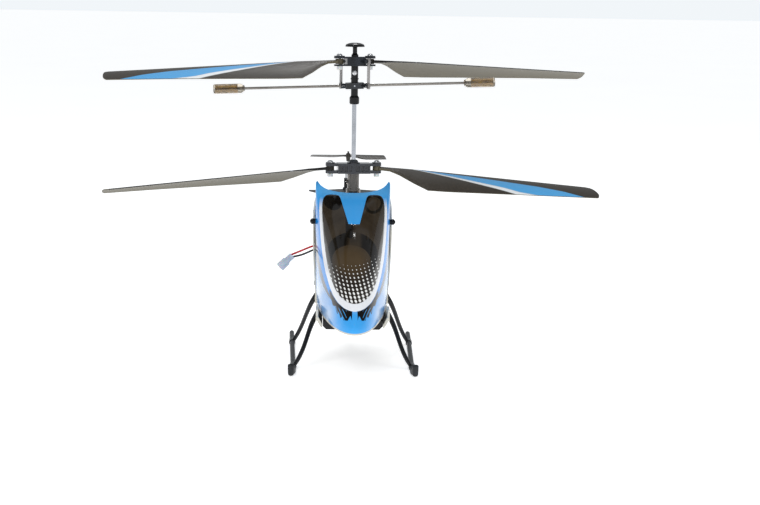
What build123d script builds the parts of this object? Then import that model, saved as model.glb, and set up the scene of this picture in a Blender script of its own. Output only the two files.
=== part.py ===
from build123d import *
from math import cos, pi, radians, sin, tan
import os

# Coaxial toy helicopter, millimetres. +Z is up and the nose points along -Y.
# Everything is drawn with the rotor mast on the Z axis and the skids on Z = 0;
# place_node() then moves the whole model along Y so that its box is centred on the origin.

# ---------------------------------------------------------------- driving dimensions
ROTOR_R = 231.0              # blade tip radius of both main rotors
NOSE_Y = -141.0              # foremost point of the canopy
TAIL_Y = 280.0               # axis of the tail propeller
TAIL_END_Y = 291.0           # rear edge of the tail fin
MAST_Y = -(NOSE_Y + TAIL_END_Y) / 2

SHAFT_R = 2.0                # steel inner shaft
OUTER_SHAFT_R = 3.5          # plastic outer shaft
RUN_GAP = 0.05               # radial clearance of every turning fit

CAP_TOP = 287.7              # top of the mushroom cap on the head
COLUMN_R = 3.25
COLUMN_LOW = 242.0
COLUMN_HIGH = 275.0

UPPER_AZIMUTH = 14.0         # rest direction of the upper blades, from +X towards +Y
UPPER_YOKE_LOW = 266.3
UPPER_YOKE_HIGH = 274.9
UPPER_YOKE_HALF = 19.6
UPPER_BOLT_R = 14.5
UPPER_DROOP = 3.0
YOKE_PLATE = 1.6
FEATHER_Z = (UPPER_YOKE_LOW + UPPER_YOKE_HIGH) / 2

LOWER_AZIMUTH = 6.0
LOWER_YOKE_LOW = 167.9
LOWER_YOKE_HIGH = 177.2
LOWER_YOKE_HALF = 26.0
LOWER_BOLT_R = 21.6
LOWER_DROOP = 5.7
LOWER_PLATE = 2.5

FLYBAR_Z = 248.5
FLYBAR_HALF = 129.0
FLYBAR_ROD_R = 1.2
FLYBAR_TILT = 2.2            # how far the bar rests off level, -X end low
WEIGHT_R = 4.45
WEIGHT_LENGTH = 25.0
WEIGHT_CONE = 3.5
LINK_X = 12.4                # ball studs of the two links, seen from above
LINK_Y = -9.7
LINK_LEVER = 12.4            # distance of the links from both tilting axes
PIN_R = 0.75
BALL_R = 1.75

GEAR_MODULE = 0.8
GEAR_TEETH = 48
PINION_TEETH = 12
GEAR_CENTRES = GEAR_MODULE * (GEAR_TEETH + PINION_TEETH) / 2
INNER_GEAR_Z = 71.0
OUTER_GEAR_Z = 83.0
GEAR_THICK = 4.0
MOTOR_R = 8.5

CANOPY_REAR_Y = 8.0
CANOPY_WALL = 1.2
WINDOW_GAP = 0.15
GROMMET_R = 2.4
FRAME_BASE_Z = 41.0
FRAME_BASE_THICK = 2.4
TRAY_LOW = 33.2
TRAY_HALF = 27.0
POST_X = 27.0
PEG_Z = 122.6

BOOM_Z = 100.0
BOOM_R = 3.5
TAIL_MOTOR_R = 3.25
TAIL_PROP_R = 42.4
TAIL_PROP_Z = 155.5

FRONT_LUG_X = 33.4           # outer faces of the lugs that carry the struts
REAR_LUG_X = 34.4
RUNNER_R = 2.3
RUNNER_Z = 2.15              # axis height; the skids are flattened at Z = 0
RUNNER_REAR = (56.9, 69.0)   # X, Y of the runner's rear tip
RUNNER_FRONT = (52.7, -92.0)

WIRE_R = 0.9
RED_ROUTE = [
    (-20.5, 15.3, 98.6),
    (-28.0, 15.0, 98.0),
    (-35.5, 14.0, 97.6),
    (-42.5, 11.5, 95.2),
    (-49.8, 9.2, 92.3),
    (-56.9, 6.0, 89.9),
]
BLACK_ROUTE = [
    (-20.5, 13.3, 94.1),
    (-28.0, 13.0, 94.6),
    (-35.5, 12.2, 94.2),
    (-42.6, 10.4, 91.0),
    (-49.3, 8.8, 88.6),
    (-55.7, 6.0, 87.9),
]
PLUG_START = (-56.1, 5.9, 89.1)
PLUG_END = (-67.6, 2.6, 78.2)

MAST = (0, MAST_Y, 0)


# ---------------------------------------------------------------- small helpers
def place_node(name, part):
    """Write one sub-part, moved from the mast frame into the row frame."""
    export_step(Pos(*MAST) * part, f"parts/{name}.step")


def rod(radius, low, high):
    return Pos(0, 0, (low + high) / 2) * Cylinder(radius, high - low)


def tube(outer, inner, low, high):
    return rod(outer, low, high) - rod(inner, low - 1, high + 1)


def block(x_span, y_span, z_span):
    size = [high - low for low, high in (x_span, y_span, z_span)]
    centre = [(high + low) / 2 for low, high in (x_span, y_span, z_span)]
    return Pos(*centre) * Box(*size)


def rod_between(start, end, radius):
    axis = Vector(*end) - Vector(*start)
    return extrude(Plane(origin=start, z_dir=axis) * Circle(radius), amount=axis.length)


def turned(points):
    """Solid of revolution about Z from (radius, height) points."""
    outline = Polyline(*[(radius, 0, height) for radius, height in points], close=True)
    return revolve(make_face(outline), Axis.Z)


def both_ends(part):
    """The part and its copy turned half round the mast."""
    return [part, Rot(0, 0, 180) * part]


def group(parts):
    return Compound(children=[solid for part in parts for solid in part.solids()])


def slab(sketch, low, high):
    return extrude(Pos(0, 0, low) * sketch, amount=high - low)


# ---------------------------------------------------------------- blades
def blade_section(station, lead, trail, thick, edge, camber, pitch):
    """Thin cambered section across the span, leading edge at +Y and raised by the pitch."""
    middle = (lead + trail) / 2
    corners = [(lead, -edge / 2), (lead, edge / 2), (trail, edge / 2), (trail, -edge / 2)]
    crown = (middle, camber + thick / 2)
    belly = (middle, camber - thick / 2)

    def turned_point(point):
        y, z = point
        angle = radians(pitch)
        return (station, y * cos(angle) - z * sin(angle), y * sin(angle) + z * cos(angle))

    front_low, front_high, back_high, back_low = [turned_point(corner) for corner in corners]
    edges = [
        Line(front_low, front_high),
        ThreePointArc(front_high, turned_point(crown), back_high),
        Line(back_high, back_low),
        ThreePointArc(back_low, turned_point(belly), front_low),
    ]
    return make_face(edges)


def tip_cutter(length, chord_lead, chord_trail):
    """Plan outline beyond an oblique, rounded blade tip."""
    start = (length - 15, chord_lead + 3)
    edge = Spline(
        (length - 12, chord_lead + 0.6),
        (length - 4.5, chord_lead - 3.5),
        (length - 1.0, (chord_lead + chord_trail) / 2),
        (length, chord_trail + 3.5),
        (length - 2.5, chord_trail - 0.6),
    )
    last = (length - 2.5, chord_trail - 6)
    rim = Polyline(edge @ 1, last, (length + 12, chord_trail - 6), (length + 12, chord_lead + 3), start, edge @ 0)
    return extrude(Pos(0, 0, -40) * make_face([edge, rim]), amount=80)


def main_blade(bolt_radius, height, droop, root_thick):
    """One blade out along +X for a rotor that turns anticlockwise seen from above."""
    length = ROTOR_R - bolt_radius
    sections = [
        (2.0, 4.0, -4.0, 2.8, 2.5, 0.0, 2.0),
        (12.0, 4.0, -4.6, 2.6, 1.8, 0.1, 8.0),
        (20.0, 4.2, -12.5, 2.2, 1.2, 0.8, 14.0),
        (32.0, 4.6, -26.0, 1.8, 0.9, 1.2, 18.0),
        (44.0, 5.0, -37.5, 1.6, 0.7, 1.8, 19.0),
        (62.0, 5.0, -37.4, 1.5, 0.7, 2.0, 18.2),
        (110.0, 5.0, -33.6, 1.4, 0.6, 1.9, 16.2),
        (165.0, 5.0, -28.2, 1.2, 0.6, 1.6, 14.0),
        (length + 2.0, 5.0, -22.5, 1.0, 0.6, 1.2, 12.5),
    ]
    wing = loft([blade_section(*section) for section in sections], ruled=True)
    wing = wing - tip_cutter(length, 5.0, -22.5)
    wing = Rot(0, droop, 0) * wing
    boss = Cylinder(3.7, root_thick)
    blade = boss + wing - Cylinder(1.0 + RUN_GAP, 20)
    return Pos(bolt_radius, 0, height) * blade


def upper_blades():
    """The upper rotor turns clockwise, so its blades are the mirror image."""
    blade = mirror(main_blade(UPPER_BOLT_R, FEATHER_Z, UPPER_DROOP, 4.8), Plane.XZ)
    right = feather_place(blade)
    left = feather_place(Rot(0, 0, 180) * blade)
    return left, right


def lower_blades():
    middle = (LOWER_YOKE_LOW + LOWER_YOKE_HIGH) / 2
    blade = main_blade(LOWER_BOLT_R, middle, LOWER_DROOP, 3.9)
    right = lower_place(blade)
    left = lower_place(Rot(0, 0, 180) * blade)
    return left, right


# ---------------------------------------------------------------- heads
def blade_bolt(bolt_radius, low, high):
    """Domed screw with a cross recess; its shank ends below the yoke, in the nut."""
    shank = rod(1.0, low - 3.4, high)
    head = turned([(0, high), (2.8, high), (2.6, high + 1.0), (1.6, high + 1.8), (0, high + 2.1)])
    recess = block((-1.5, 1.5), (-0.3, 0.3), (high + 1.1, high + 3))
    bolt = shank + head - recess - Rot(0, 0, 90) * recess
    return Pos(bolt_radius, 0, 0) * bolt


def blade_nut(bolt_radius, low):
    nut = extrude(Pos(0, 0, low - 3.2) * RegularPolygon(2.6, 6), amount=3.2)
    return Pos(bolt_radius, 0, 0) * (nut - rod(1.0, low - 5, low + 1))


def lower_place(part):
    return Rot(0, 0, LOWER_AZIMUTH) * part


def fasteners(place, fastener):
    return group([place(copy) for copy in both_ends(fastener)])


def yoke_blank(half, bolt_radius, low, high, plate, web_half, web_depth):
    """Two plates joined by a central web, with a screw hole near each end."""
    width = 2 * (half - bolt_radius)
    profile = SlotOverall(2 * half, width)
    web = block((-web_half, web_half), (-web_depth, web_depth), (low, high))
    body = slab(profile, low, low + plate) + slab(profile, high - plate, high) + web
    for sign in (-1, 1):
        body = body - Pos(sign * bolt_radius, 0, 0) * rod(1.0, low - 1, high + 1)
        body = body + Pos(sign * bolt_radius, 0, 0) * tube(width / 2 - 0.2, 1.0, high, high + 0.8)
    return body


def feather_place(part):
    """Turn a part of the upper yoke about the yoke's own axis, then to its rest direction."""
    level = Rot(-FLYBAR_TILT, 0, 0) * Pos(0, 0, -FEATHER_Z)
    return Rot(0, 0, UPPER_AZIMUTH) * Pos(0, 0, FEATHER_Z) * level * part


def upper_yoke():
    """Feathering yoke: hollow round the column, with an arm and stud for each link."""
    low, high = UPPER_YOKE_LOW, UPPER_YOKE_HIGH
    body = yoke_blank(UPPER_YOKE_HALF, UPPER_BOLT_R, low, high, YOKE_PLATE, 8.8, 6.6)
    arm = block((5.6, 8.2), (-14.4, -4.0), (FEATHER_Z - 1.6, FEATHER_Z + 1.6))
    stud = rod_between((7.0, -LINK_LEVER, FEATHER_Z), (11.6, -LINK_LEVER, FEATHER_Z), 0.9)
    for turn in (0, 180):
        body = body + Rot(0, 0, turn) * (arm + stud)
    body = body - rod(4.7, low - 1, high + 1)
    return feather_place(body - rod_between((-20, 0, FEATHER_Z), (20, 0, FEATHER_Z), PIN_R + RUN_GAP))


def link_at(end):
    """Upright link: bored eye on the yoke's stud, wider eye round the hub's ball."""
    lift = end * LINK_LEVER * sin(radians(FLYBAR_TILT))
    top_z, foot_z = FEATHER_Z + lift, FLYBAR_Z + lift
    top = Pos(0, 0, top_z) * Rot(0, 90, 0) * (Cylinder(2.7, 2.2) - Cylinder(0.9 + RUN_GAP, 5))
    eye = Pos(0, 0, foot_z) * Rot(0, 90, 0) * (Cylinder(3.1, 2.2) - Cylinder(BALL_R + 0.35, 5))
    bar = block((-1.1, 1.1), (-1.3, 1.3), (foot_z + 2.7, top_z - 1.7))
    return Pos(end * LINK_X, end * LINK_Y, 0) * Rot(0, 0, UPPER_AZIMUTH) * (top + eye + bar)


def flybar_hub():
    """Teetering hub round the column, with a ball arm to each link."""
    body = extrude(Pos(0, 0, -2.75) * RectangleRounded(16.8, 13.0, 2.0), amount=5.5)
    body = body - Box(8.6, 7.2, 8)
    body = body - Rot(90, 0, 0) * Cylinder(PIN_R + RUN_GAP, 30)
    for sign in (-1, 1):
        arm = rod_between((6.5, -5.0, 0), (9.3, LINK_Y, 0), 1.5)
        neck = rod_between((9.0, LINK_Y, 0), (LINK_X, LINK_Y, 0), 1.0)
        ball = Pos(LINK_X, LINK_Y, 0) * Sphere(BALL_R)
        body = body + Rot(0, 0, 90 * (1 - sign)) * (arm + neck + ball)
        socket = Pos(sign * 9.6, 0, 0) * Rot(0, 90, 0) * Cylinder(2.3, 5.6)
        body = body + socket
    body = body - Rot(0, 90, 0) * Cylinder(FLYBAR_ROD_R, 60) - Box(8.6, 7.2, 8)
    return flybar_place(body)


def flybar_place(part):
    return Pos(0, 0, FLYBAR_Z) * Rot(0, -FLYBAR_TILT, 0) * part


def flybar_rod():
    return rod_between((5.2, 0, 0), (FLYBAR_HALF - 1.5, 0, 0), FLYBAR_ROD_R)


def weight_shell():
    """Clear shell with a tapered neck, closed round the rod and hollow for its slug."""
    inner_end = FLYBAR_HALF - WEIGHT_LENGTH
    outline = [
        (FLYBAR_ROD_R, inner_end - WEIGHT_CONE), (2.4, inner_end - WEIGHT_CONE), (WEIGHT_R, inner_end),
        (WEIGHT_R, FLYBAR_HALF - 0.6), (WEIGHT_R - 0.6, FLYBAR_HALF), (0, FLYBAR_HALF),
        (0, FLYBAR_HALF - 1.5), (3.3, FLYBAR_HALF - 1.5), (3.3, inner_end + 3.0), (FLYBAR_ROD_R, inner_end + 3.0),
    ]
    return Rot(0, 90, 0) * turned(outline)


def weight_slug():
    inner_end = FLYBAR_HALF - WEIGHT_LENGTH
    return Rot(0, 90, 0) * tube(3.3, FLYBAR_ROD_R, inner_end + 3.0, FLYBAR_HALF - 1.5)


def flybar_group(piece):
    return group([flybar_place(copy) for copy in both_ends(piece)])


def head_column():
    column = tube(COLUMN_R, SHAFT_R, COLUMN_LOW, COLUMN_HIGH - 2) + rod(COLUMN_R, COLUMN_HIGH - 2, COLUMN_HIGH)
    ring = tube(COLUMN_R + 0.5, COLUMN_R - 0.5, 254.2, 255.4)
    hole = Pos(0, 0, 260.4) * Rot(90, 0, 0) * Cylinder(1.0, 20)
    return column + ring - hole - head_pin_bores()


def head_pin_bores():
    flybar_bore = Pos(0, 0, FLYBAR_Z) * Rot(90, 0, 0) * Cylinder(PIN_R, 20)
    yoke_bore = Rot(0, 0, UPPER_AZIMUTH) * (Pos(0, 0, FEATHER_Z) * Rot(0, 90, 0) * Cylinder(PIN_R, 20))
    return flybar_bore + yoke_bore


def head_pins():
    """Teeter pin of the flybar hub and feathering pin of the upper yoke."""
    flybar_pin = Pos(0, 0, FLYBAR_Z) * Rot(90, 0, 0) * Cylinder(PIN_R, 12.8)
    yoke_pin = Rot(0, 0, UPPER_AZIMUTH) * (Pos(0, 0, FEATHER_Z) * Rot(0, 90, 0) * Cylinder(PIN_R, 17.0))
    return group([flybar_pin, yoke_pin])


def column_screw():
    """Cross-head screw that pins the column to the shaft, head towards the nose."""
    shank = Pos(0, -0.4, 260.4) * Rot(90, 0, 0) * Cylinder(1.0, 6.6)
    head = turned([(0, 0), (2.35, 0), (2.2, 0.9), (1.2, 1.5), (0, 1.65)])
    recess = block((-1.4, 1.4), (-0.3, 0.3), (0.8, 3))
    head = head - recess - Rot(0, 0, 90) * recess
    return shank + Pos(0, -COLUMN_R + 0.35, 260.4) * Rot(90, 0, 0) * head - rod(COLUMN_R, 255, 265) + shank


def top_cap():
    edge = 8.8
    outline = [
        (0, 275), (3.25, 275), (3.25, 276.4), (2.05, 278), (2.05, 283.2), (3.4, 284), (edge, 284),
        (edge, 284.8), (8.2, 286), (5.6, 287.1), (2.6, CAP_TOP - 0.1), (0, CAP_TOP),
    ]
    return turned(outline)


def head_collar():
    outline = [
        (SHAFT_R, 231.6), (3.9, 231.6), (4.5, 232.6), (4.5, 237.6), (3.25, 239.4), (3.25, 242), (SHAFT_R, 242),
    ]
    return turned(outline)


def inner_shaft():
    shaft = rod(SHAFT_R, 44.5, COLUMN_HIGH - 2)
    hole = Pos(0, 0, 260.4) * Rot(90, 0, 0) * Cylinder(1.0, 20)
    return shaft - hole - head_pin_bores()


def outer_shaft():
    return tube(OUTER_SHAFT_R, SHAFT_R + RUN_GAP, 79.0, LOWER_YOKE_HIGH)


def lower_yoke():
    """Clamp for the lower blades, with ribbed pockets in the faces of its web."""
    low, high = LOWER_YOKE_LOW, LOWER_YOKE_HIGH
    body = yoke_blank(LOWER_YOKE_HALF, LOWER_BOLT_R, low, high, LOWER_PLATE, 15.0, 6.8)
    for x in (-11.8, -7.6, -3.4, 3.4, 7.6, 11.8):
        for sign in (-1, 1):
            pocket = block((x - 1.5, x + 1.5), (5.2, 8.0), (low + 2.2, high - 2.2))
            body = body - Rot(0, 0, 90 * (1 - sign)) * pocket
    body = body + tube(6.0, OUTER_SHAFT_R, high - 1, high + 0.7)
    return lower_place(body - rod(OUTER_SHAFT_R, low - 1, high + 3))


def lower_hub_sleeve():
    """Translucent sleeve of the lower hub, with the boss of its set screw."""
    sleeve = tube(5.5, OUTER_SHAFT_R, 150.0, LOWER_YOKE_LOW) + tube(6.6, OUTER_SHAFT_R, 146.0, 153.6)
    boss = rod_between((-4.6, 0, 159.8), (-6.6, 0, 159.8), 2.1)
    bore = rod_between((-3.4, 0, 159.8), (-9, 0, 159.8), 1.2)
    return sleeve + boss - bore - rod(OUTER_SHAFT_R, 140, 170)


def hub_set_screw():
    screw = rod_between((-3.6, 0, 159.8), (-7.6, 0, 159.8), 1.2)
    head = rod_between((-6.6, 0, 159.8), (-8.2, 0, 159.8), 1.9)
    return screw + head


def shaft_bearing_cap():
    low = LOWER_YOKE_HIGH
    outline = [
        (SHAFT_R + RUN_GAP, low), (3.5, low), (3.5, low + 0.8), (4.35, low + 0.8), (4.3, low + 1.8),
        (3.4, low + 3.0), (SHAFT_R + RUN_GAP, low + 3.4),
    ]
    return turned(outline)


# ---------------------------------------------------------------- drive
def gear_outline(teeth):
    """Straight-flanked tooth outline with a little backlash, first tooth on +X."""
    pitch_r = GEAR_MODULE * teeth / 2
    tip_r = pitch_r + 0.45 * GEAR_MODULE * 1.6
    root_r = pitch_r - 0.5 * GEAR_MODULE * 1.6
    pitch_angle = 2 * pi / teeth
    shape = [(-0.30, root_r), (-0.13, tip_r), (0.13, tip_r), (0.30, root_r)]
    points = []
    for tooth in range(teeth):
        for offset, radius in shape:
            angle = (tooth + offset) * pitch_angle
            points.append((radius * cos(angle), radius * sin(angle)))
    return make_face(Polyline(*points, close=True))


def spur_gear(teeth, bore, low, high):
    return slab(gear_outline(teeth), low, high) - rod(bore, low - 1, high + 1)


def main_gear(bore, low):
    """Large gear with six lightening holes and a hub."""
    gear = spur_gear(GEAR_TEETH, bore, low, low + GEAR_THICK)
    for place in PolarLocations(11.5, 6):
        gear = gear - place * rod(3.4, low - 1, low + GEAR_THICK + 1)
    return gear + tube(bore + 2.6, bore, low - 1.5, low + GEAR_THICK + 1.5)


def motor_place(side):
    angle = radians(-90 + side * 45)
    return Pos(GEAR_CENTRES * cos(angle), GEAR_CENTRES * sin(angle), 0)


def pinion(side, low):
    shaft = rod(1.0, 46.0, low + GEAR_THICK + 1)
    return motor_place(side) * (slab(gear_outline(PINION_TEETH), low - 0.5, low + GEAR_THICK + 0.5) + shaft)


def main_motor(side):
    can = rod(MOTOR_R, 44.6, 66.0) + rod(3.0, 66.0, 67.6)
    flats = block((-9, 9), (6.4, 9), (40, 70)) + block((-9, 9), (-9, -6.4), (40, 70))
    vents = block((-9, 9), (-1.6, 1.6), (47, 50))
    return motor_place(side) * (can - flats - (vents - rod(7.2, 40, 70)) - rod(1.0 + RUN_GAP, 45.4, 70))


def shaft_bearings():
    high_ring = tube(6.5, OUTER_SHAFT_R + RUN_GAP, 128.0, 132.0)
    mid_ring = tube(6.5, OUTER_SHAFT_R + RUN_GAP, 96.0, 100.0)
    foot_ring = tube(4.5, SHAFT_R + RUN_GAP, 45.0, 48.0)
    return group([high_ring, mid_ring, foot_ring])


def frame_post(side):
    """Side post with a rib and the peg that carries the canopy."""
    inner, outer = sorted((side * (POST_X - 3), side * POST_X))
    post = block((inner, outer), (-5, 12), (FRAME_BASE_Z, 132.0))
    for height in (64, 82, 114):
        post = post - block((inner - 1, outer + 1), (-1, 8), (height - 5, height + 5))
    return post + rod_between((side * POST_X, 0, PEG_Z), (side * 39.6, 0, PEG_Z), 1.5)


def main_frame():
    """Base plate, two posts, two bearing decks, motor rings, battery shelf and boom clamp."""
    top = FRAME_BASE_Z + FRAME_BASE_THICK
    frame = block((-26.5, 26.5), (-58, 21), (FRAME_BASE_Z, top))
    frame = frame + block((-9.5, 9.5), (-106, -54), (top, top + 1.6))
    frame = frame + frame_post(-1) + frame_post(1)
    frame = frame + block((-POST_X, POST_X), (-7, 14), (128, 132))
    frame = frame + block((-POST_X, POST_X), (-7, 14), (96, 100))
    frame = frame + rod(6.5, top, 48) + block((-7, 7), (12, 30), (94, 107))
    for side in (-1, 1):
        frame = frame + motor_place(side) * tube(10.0, MOTOR_R, top, 52)
    frame = frame - rod(6.5, 90, 140) - rod(4.5, 45, 60) - rod(2.6, 43, 60)
    return frame - rod_between((0, 8, BOOM_Z), (0, 40, BOOM_Z), BOOM_R)


# ---------------------------------------------------------------- canopy and covers
def canopy_outline(nose, full, half, height, blunt, rear):
    """Plan outline at one height: bullet nose, then straight walls to the rear."""
    fine = [(0.08, 0.34), (0.22, 0.54), (0.42, 0.72), (0.68, 0.89)]
    side = []
    for along, across in fine:
        round_across = (1 - (1 - along) ** 2) ** 0.5
        width = half * (across + blunt * (round_across - across))
        side.append((width, nose + along * (full - nose)))
    points = [(half, full)] + side[::-1] + [(0, nose)]
    points = points + [(-x, y) for x, y in side] + [(-half, full)]
    curve = Spline(*points, tangents=[(0, -1), (0, 1)])
    rest = Polyline((-half, full), (-half, rear), (half, rear), (half, full))
    return Pos(0, 0, height) * make_face([curve, rest])


def canopy_block(inset):
    """Solid bounded by the canopy's outer skin, or by a skin set inside it."""
    levels = [
        (44.0, NOSE_Y + 2.5, 4.0, 32.6, 0.0),
        (50.0, NOSE_Y, 4.0, 33.0, 0.0),
        (57.0, NOSE_Y + 2.0, 4.0, 33.4, 0.04),
        (66.0, -134.4, 4.0, 33.8, 0.08),
        (76.0, -127.4, 4.0, 34.1, 0.13),
        (87.0, -118.1, 4.0, 34.4, 0.2),
        (98.0, -106.9, 4.0, 34.6, 0.28),
        (108.0, -94.8, 4.0, 34.7, 0.37),
        (117.0, -82.3, 4.0, 34.8, 0.47),
        (125.5, -68.3, 4.1, 34.8, 0.58),
        (134.0, -51.4, 4.3, 34.8, 0.7),
        (142.5, -31.9, 4.8, 34.8, 0.8),
        (152.0, -9.5, 6.0, 34.7, 0.9),
        (160.0, 6.0, 9.5, 34.6, 0.9),
    ]
    outlines = []
    for height, nose, full, half, blunt in levels:
        outlines.append(canopy_outline(nose + inset * 1.8, full, half - inset, height, blunt, 30.0))
    return loft(outlines, ruled=True)


def window_outline(shrink):
    """Front outline of the windscreen: two lobes round a trapezoid tab, rounded foot."""
    half = [
        (0.0, 129.0 - shrink), (5.0 + shrink, 129.0 - shrink), (11.3 + shrink, 145.6), (12.6 + shrink, 148.0 - shrink),
        (15.5, 149.2 - shrink), (22.6, 149.0 - shrink), (26.2 - shrink, 147.4 - shrink), (28.0 - shrink, 144.0),
        (28.6 - shrink, 137.0), (27.6 - shrink, 121.0), (25.4 - shrink, 104.0), (22.6 - shrink, 91.0),
        (18.6 - shrink, 81.0), (13.4 - shrink, 74.6 + shrink), (6.8, 71.2 + shrink), (0.0, 70.2 + shrink),
    ]
    other = [(-x, z) for x, z in half[::-1][1:-1]]
    return make_face(Polyline(*[(x, 0, z) for x, z in half + other], close=True))


def window_prism(shrink):
    return extrude(Pos(0, 20, 0) * window_outline(shrink), amount=200, dir=(0, -1, 0))


def canopy_and_window():
    """Shell cut back by the rear edge and the mast notch, and the pane from its opening."""
    notch = Pos(0, 25.2, 0) * rod(37.2, 134, 200)
    kept = block((-60, 60), (-200, CANOPY_REAR_Y), (20, 200)) - notch
    shell = (canopy_block(0.0) & kept) - canopy_block(CANOPY_WALL)
    window = shell & window_prism(WINDOW_GAP)
    pegs = rod_between((-60, 0, PEG_Z), (60, 0, PEG_Z), GROMMET_R)
    return shell - window_prism(0.0) - pegs, window


def grommet(side):
    stem = rod_between((side * 33.0, 0, PEG_Z), (side * 35.6, 0, PEG_Z), GROMMET_R)
    bead = rod_between((side * 35.2, 0, PEG_Z), (side * 38.9, 0, PEG_Z), 2.7)
    bead = fillet(bead.edges().filter_by(GeomType.CIRCLE), 1.2)
    return stem + bead - rod_between((0, 0, PEG_Z), (side * 60, 0, PEG_Z), 1.5)


def cover_outline(half, end, height, front):
    """Right half of the rear fairing in plan, drawn in towards the tail boom."""
    tail_half = 7.0
    side = Spline(
        (half, front), (half * 0.97, front + 0.3 * (end - front)),
        (half * 0.62, front + 0.74 * (end - front)), (tail_half, end), tangents=[(0, 1), (-0.35, 1)],
    )
    rest = Polyline((tail_half, end), (0, end), (0, front), (half, front))
    return Pos(0, 0, height) * make_face([side, rest])


def cover_block(inset, front):
    levels = [
        (34.0, 27.6, 34.0), (42.0, 32.0, 42.0), (60.0, 34.7, 54.0), (84.0, 36.3, 66.0),
        (104.0, 36.9, 71.0), (124.0, 37.0, 60.0), (140.0, 35.8, 40.0), (146.0, 34.0, 30.0),
    ]
    outlines = [cover_outline(half - inset, end - inset, height, front) for height, half, end in levels]
    return loft(outlines)


def body_cover(side):
    """Moulded half of the rear fairing with its sill and the lug for the front strut."""
    front = CANOPY_REAR_Y + 0.6
    shell = cover_block(0.0, front) - (cover_block(1.4, front - 5) & block((-1, 60), (0, 90), (20, 144.4)))
    shell = shell - block((-1, 26.9), (0, 21.5), (30, 43.6)) - block((-1, 60), (0, 90), (30, 41.2))
    shell = shell - rod(14.0, 140, 150) - rod_between((0, 20, BOOM_Z), (0, 90, BOOM_Z), BOOM_R + 0.4)
    sill_points = [(33.0, 43.4), (31.6, 39.0), (28.6, 34.0), (27.4, 34.0), (27.4, 36.5), (31.0, 43.4)]
    sill = make_face(Polyline(*[(x, 0, z) for x, z in sill_points], close=True))
    sill = extrude(Pos(0, front, 0) * sill, amount=front + 58, dir=(0, -1, 0))
    lug = block((31.4, FRONT_LUG_X), (-57, -37), (40.0, 50.0))
    rear_lug = block((31.8, REAR_LUG_X), (11, 29), (43.0, 55.0)) - cover_block(1.4, front - 5)
    cover = shell + sill + lug + rear_lug - block((-5, 0.05), (-100, 100), (0, 200))
    for y, z in ((24.0, 60.0), (24.0, 128.0)):
        cover = cover - rod_between((20, y, z), (60, y, z), 1.0)
    if side < 0:
        cover = mirror(cover, Plane.YZ)
        cover = cover - rod_between((-25, 14.0, 96.0), (-45, 13.0, 96.0), 4.2)
    return cover


def cover_screws():
    """Four small pan-head screws through the fairing halves."""
    screws = []
    for side in (-1, 1):
        for y, z, reach in ((24.0, 60.0, 33.2), (24.0, 128.0, 34.6)):
            shank = rod_between((side * (reach - 6), y, z), (side * (reach + 1.5), y, z), 0.95)
            head = rod_between((side * (reach + 1.5), y, z), (side * (reach + 2.6), y, z), 2.0)
            screws.append(shank + head)
    return group(screws)


def belly_tray():
    """Black tray under the frame, open on top, with a slot for the switch."""
    outer = block((-TRAY_HALF, TRAY_HALF), (-62, 22), (TRAY_LOW, FRAME_BASE_Z))
    outer = chamfer(outer.edges().filter_by(Axis.Y).group_by(Axis.Z)[0], 3.0)
    inner = block((-TRAY_HALF + 1.4, TRAY_HALF - 1.4), (-60.6, 20.6), (TRAY_LOW + 4.4, 50))
    floor = block((-TRAY_HALF + 4.5, TRAY_HALF - 4.5), (-60.6, 20.6), (TRAY_LOW + 1.4, 50))
    tray = outer - inner - floor
    for y in (-48, -36, -24, -12):
        tray = tray - block((-14, 14), (y - 1.5, y + 1.5), (TRAY_LOW - 1, TRAY_LOW + 3))
    return tray - block((-2.1, 2.1), (9, 16), (TRAY_LOW - 1, TRAY_LOW + 3))


def power_switch():
    case = block((-4, 4), (6, 19), (TRAY_LOW + 1.4, TRAY_LOW + 6.4))
    return case - block((-1.6, 1.6), (9.5, 15.5), (TRAY_LOW, TRAY_LOW + 4.0))


def switch_knob():
    return block((-1.4, 1.4), (10.0, 13.0), (TRAY_LOW - 1.4, TRAY_LOW + 3.8))


def battery_pack():
    top = FRAME_BASE_Z + FRAME_BASE_THICK + 1.6
    pack = block((-9, 9), (-103, -56), (top, top + 14))
    return fillet(pack.edges().filter_by(Axis.Y), 2.0)


def control_board():
    """Receiver board on four short pillars, with its chips."""
    top = FRAME_BASE_Z + FRAME_BASE_THICK
    board = block((-15, 15), (-52, -31), (top + 3, top + 4.6))
    for x in (-12.5, 12.5):
        for y in (-49.5, -33.5):
            board = board + Pos(x, y, 0) * rod(1.2, top, top + 3)
    board = board + block((-5, 5), (-46, -38), (top + 4.6, top + 6.2))
    return board + block((7, 13), (-46, -40), (top + 4.6, top + 9.0))


# ---------------------------------------------------------------- landing gear
def runner_point(y):
    """Axis of the right runner at a given Y."""
    x_rear, y_rear = RUNNER_REAR
    x_front, y_front = RUNNER_FRONT
    return (x_front + (x_rear - x_front) * (y - y_front) / (y_rear - y_front), y, RUNNER_Z)


def runner_path():
    straight = Line(runner_point(RUNNER_REAR[1]), runner_point(RUNNER_FRONT[1]))
    upturn = Spline(
        runner_point(RUNNER_FRONT[1]), (53.0, -99.0, 3.2), (54.4, -104.0, 8.0),
        tangents=[(-0.03, -1, 0), (0.25, -0.7, 0.72)],
    )
    return straight, upturn


def floor_flat(part):
    return part - block((-80, 80), (-130, 90), (-20, 0))


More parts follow.
